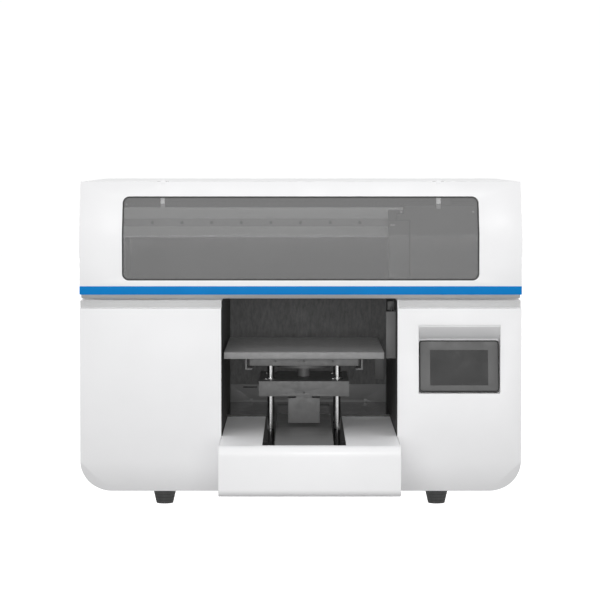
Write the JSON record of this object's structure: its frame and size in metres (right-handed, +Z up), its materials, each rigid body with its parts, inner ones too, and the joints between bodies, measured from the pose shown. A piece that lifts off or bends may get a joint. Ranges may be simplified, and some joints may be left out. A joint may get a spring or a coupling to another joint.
{
  "type": "flatbed uv printer",
  "caption": "Desktop flatbed UV printer with a white cabinet, flip-up tinted visor, open bay with a travelling lift bed, front tray and touch screen.",
  "frame": {"origin": "centre of the footprint, on the surface that the feet stand on", "axes": "+Z up, +X to the right seen from the front, +Y from the front to the back"},
  "size_m": [0.84, 0.885, 0.626],
  "materials": {
    "white_paint": "satin powder coat",
    "white_tray": "satin powder coat",
    "tinted_acrylic": "smoke-grey gloss acrylic",
    "gasket_rubber": "matt",
    "blue_strip": "satin blue",
    "grey_lip": "satin",
    "black_rubber": "matt",
    "dark_panel": "textured black powder coat",
    "dark_cover": "satin dark grey",
    "dark_gloss": "gloss black",
    "frame_steel": "satin",
    "bright_steel": "polished",
    "rail_steel": "ground",
    "grey_anodised": "bead-blasted grey anodised",
    "beam_aluminium": "clear anodised",
    "bronze": "bare",
    "black_plastic": "fine grain",
    "grey_plastic": "fine grain",
    "belt_rubber": "toothed belt",
    "screen_bezel": "satin",
    "screen_glass": "gloss",
    "bottle_plastic": "translucent",
    "zinc_steel": "zinc plated"
  },
  "bodies": {
    "root": {"hood_shell": "white_paint", "visor_hinges": "rail_steel", "left_cabinet": "white_paint", "right_cabinet": "white_paint", "rear_panel": "white_paint", "feet": "black_rubber", "base_frame": "frame_steel", "bay_liner": "dark_panel", "bay_rear_cover": "dark_cover", "panel_screws": "bright_steel", "bay_floor": "dark_gloss", "tray_body": "white_tray", "tray_side_tops": "white_tray", "sensor_bracket": "grey_anodised", "linear_rails": "rail_steel", "axis_motors": "black_plastic", "axis_belts": "belt_rubber", "gantry_supports": "frame_steel", "x_beam": "beam_aluminium", "cap_tub": "grey_plastic", "screen_housing": "screen_bezel", "screen_glass": "screen_glass", "ink_bottles": "bottle_plastic", "electronics": "zinc_steel", "exhaust_fan": "black_plastic"},
    "visor": {"visor": "white_paint", "window": "tinted_acrylic", "window_gasket": "gasket_rubber", "accent_strip": "blue_strip", "visor_lip": "grey_lip"},
    "bed": {"bed_blocks": "rail_steel", "bed_carriage": "dark_panel", "lift_bridge": "grey_anodised", "rod_bushings": "bright_steel", "lift_housing": "grey_anodised", "screw_bearing": "rail_steel", "z_motor": "black_plastic", "z_belt": "belt_rubber"},
    "table": {"lift_rods": "bright_steel", "lift_tube": "frame_steel", "lift_nut": "bronze", "bed_subplate": "grey_anodised", "platen": "grey_anodised", "platen_clips": "zinc_steel"},
    "lead_screw": {"lead_screw": "rail_steel"},
    "z_pulley": {"z_pulley": "beam_aluminium"},
    "y_drive": {"y_drive_pulley": "beam_aluminium"},
    "y_idler": {"y_idler_pulley": "beam_aluminium"},
    "carriage": {"carriage_frame": "frame_steel", "carriage_blocks": "rail_steel", "carriage_cover": "grey_plastic", "print_heads": "black_plastic", "uv_lamp": "grey_plastic"},
    "lamp_fan": {"lamp_fan": "black_plastic"},
    "x_drive": {"x_drive_pulley": "beam_aluminium"},
    "x_idler": {"x_idler_pulley": "beam_aluminium"},
    "cap_station": {"cap_carrier": "grey_plastic", "cap_seals": "black_rubber"},
    "exhaust_rotor": {"exhaust_rotor": "black_plastic"},
    "power_switch": {"power_switch": "black_plastic"}
  },
  "joints": [
    {"name": "visor_hinge", "type": "hinge", "parent": "root", "child": "visor", "pos_m": [0, -0.2075, 0.6195], "axis": [-1, 0, 0], "range_deg": [0, 80]},
    {"name": "bed_slide", "type": "slide", "parent": "root", "child": "bed", "axis": [0, 1, 0], "range_m": [-0.2, 0.19]},
    {"name": "bed_lift", "type": "slide", "parent": "bed", "child": "table", "axis": [0, 0, 1], "range_m": [0, 0.095]},
    {"name": "screw_turn", "type": "hinge", "parent": "bed", "child": "lead_screw", "pos_m": [0.0065, -0.0625, 0.2], "axis": [0, 0, 1], "range_deg": [-10, 3450]},
    {"name": "z_pulley_turn", "type": "hinge", "parent": "bed", "child": "z_pulley", "pos_m": [0.0065, -0.0005, 0.158], "axis": [0, 0, 1], "range_deg": [-10, 3450]},
    {"name": "y_drive_turn", "type": "hinge", "parent": "root", "child": "y_drive", "pos_m": [0.0065, 0.3825, 0.075], "axis": [1, 0, 0], "range_deg": [-1500, 1500]},
    {"name": "y_idler_turn", "type": "hinge", "parent": "root", "child": "y_idler", "pos_m": [0.0065, -0.4025, 0.075], "axis": [1, 0, 0], "range_deg": [-1500, 1500]},
    {"name": "carriage_slide", "type": "slide", "parent": "root", "child": "carriage", "axis": [1, 0, 0], "range_m": [-0.5, 0]},
    {"name": "x_drive_turn", "type": "hinge", "parent": "root", "child": "x_drive", "pos_m": [-0.365, 0.0325, 0.589], "axis": [0, 1, 0], "range_deg": [-3600, 3600]},
    {"name": "x_idler_turn", "type": "hinge", "parent": "root", "child": "x_idler", "pos_m": [0.365, 0.0325, 0.589], "axis": [0, 1, 0], "range_deg": [-3600, 3600]},
    {"name": "lamp_fan_spin", "type": "hinge", "parent": "carriage", "child": "lamp_fan", "pos_m": [0.194, -0.0305, 0.535], "axis": [0, 0, 1], "continuous": true},
    {"name": "cap_lift", "type": "slide", "parent": "root", "child": "cap_station", "axis": [0, 0, 1], "range_m": [-0.012, 0]},
    {"name": "exhaust_spin", "type": "hinge", "parent": "root", "child": "exhaust_rotor", "pos_m": [0.25, 0.4275, 0.5], "axis": [0, 1, 0], "continuous": true},
    {"name": "switch_rock", "type": "hinge", "parent": "root", "child": "power_switch", "pos_m": [-0.25, 0.4275, 0.13], "axis": [1, 0, 0], "range_deg": [0, 12]}
  ],
  "couplings": [
    {"joint": "screw_turn", "follows": "bed_lift", "rad_per_m": 628.32},
    {"joint": "z_pulley_turn", "follows": "bed_lift", "rad_per_m": 628.32},
    {"joint": "y_drive_turn", "follows": "bed_slide", "rad_per_m": -120.48},
    {"joint": "y_idler_turn", "follows": "bed_slide", "rad_per_m": -120.48},
    {"joint": "x_drive_turn", "follows": "carriage_slide", "rad_per_m": 120.48},
    {"joint": "x_idler_turn", "follows": "carriage_slide", "rad_per_m": 120.48}
  ]
}
